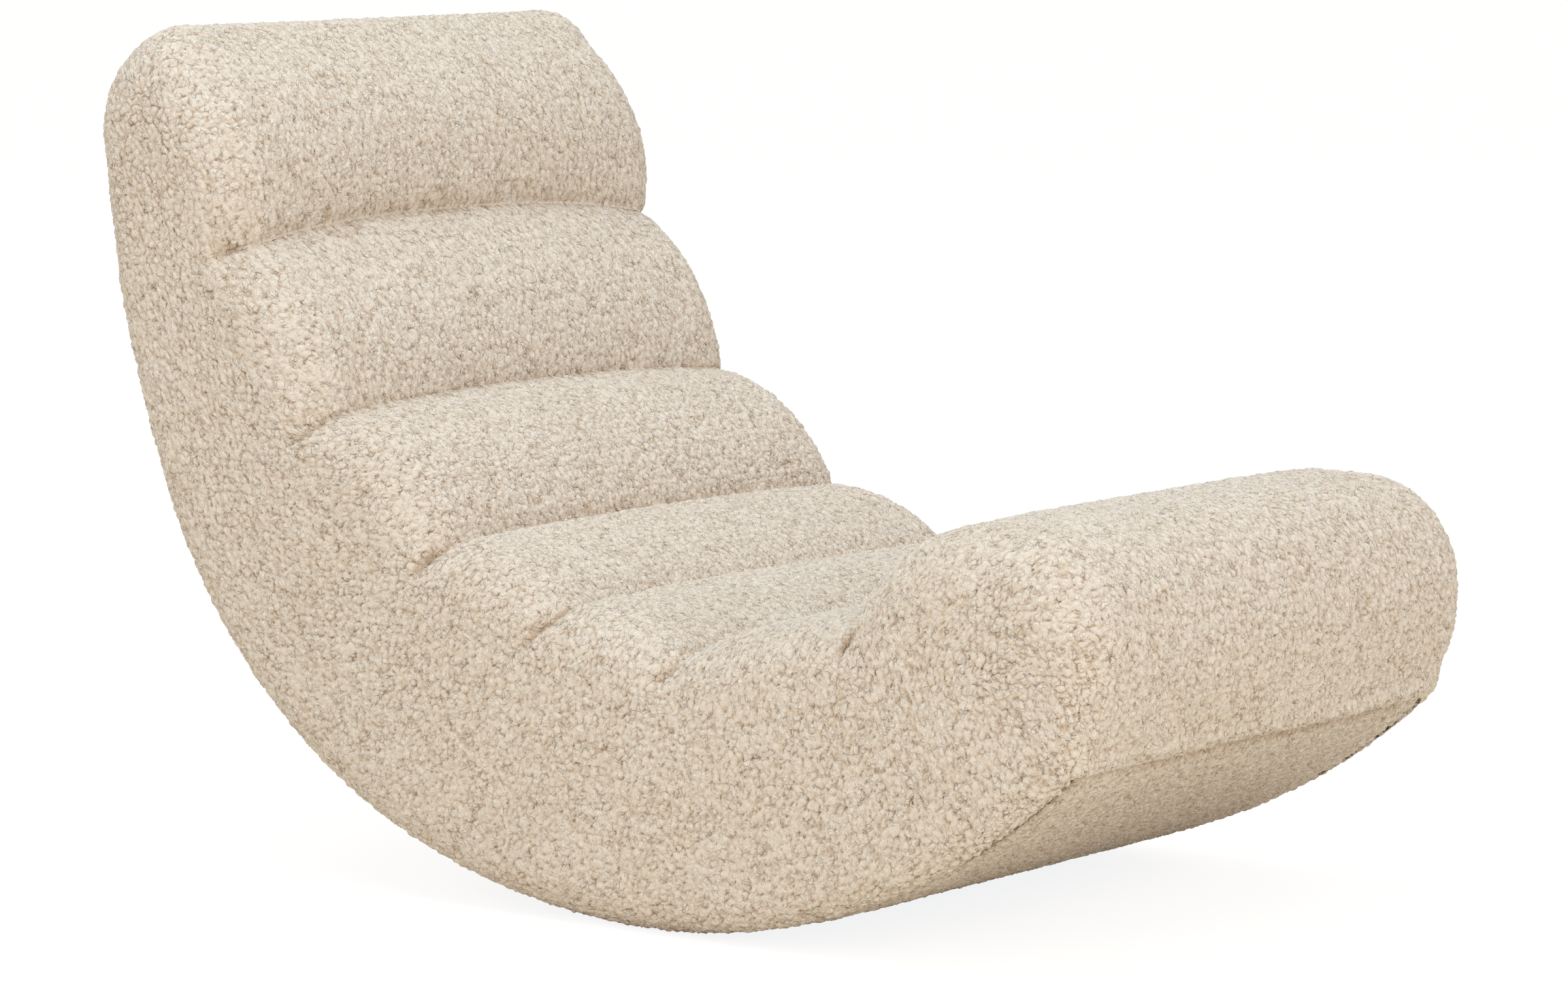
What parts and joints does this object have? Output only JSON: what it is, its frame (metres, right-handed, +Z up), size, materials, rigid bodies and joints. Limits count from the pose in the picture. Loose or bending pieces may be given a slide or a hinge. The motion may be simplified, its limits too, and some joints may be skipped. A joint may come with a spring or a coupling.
{
  "type": "rocking chair",
  "caption": "Armless rocking armchair: channelled fabric cushions on a curved shell that rocks on its own rounded underside.",
  "frame": {"origin": "middle of the flat on the underside that rests on the floor", "axes": "+X across the width towards the sitter's left, -Y out of the front of the seat, +Z up"},
  "size_m": [0.7, 1.2081, 0.8454],
  "materials": {
    "boucle": "looped cream wool-blend pile over foam",
    "lining": "plain woven lining",
    "webbing": "elastic webbing",
    "plywood": "raw birch plywood",
    "pine": "planed pine",
    "fibreboard": "raw upholstery board",
    "bar_steel": "black primer",
    "screw_zinc": "zinc plated"
  },
  "bodies": {
    "root": {"head_cushion": "boucle", "upper_back_channel": "boucle", "middle_back_channel": "boucle", "lower_back_channel": "boucle", "rear_seat_channel": "boucle", "front_seat_channel": "boucle", "front_roll": "boucle", "left_side_pad": "boucle", "right_side_pad": "boucle", "underside_cover": "boucle", "groove_ties": "lining", "deck_cloth": "lining", "back_webbing": "webbing", "seat_webbing": "webbing", "left_side_frame": "plywood", "right_side_frame": "plywood", "centre_rib": "plywood", "rocker_skin": "plywood", "head_rail": "pine", "neck_rail": "pine", "shoulder_rail": "pine", "waist_rail": "pine", "hip_rail": "pine", "thigh_rail": "pine", "knee_rail": "pine", "nose_rail": "pine", "rear_floor_rail": "pine", "middle_floor_rail": "pine", "front_floor_rail": "pine", "balance_bar": "bar_steel", "back_board": "fibreboard", "glue_blocks": "pine", "frame_screws": "screw_zinc"}
  },
  "joints": []
}
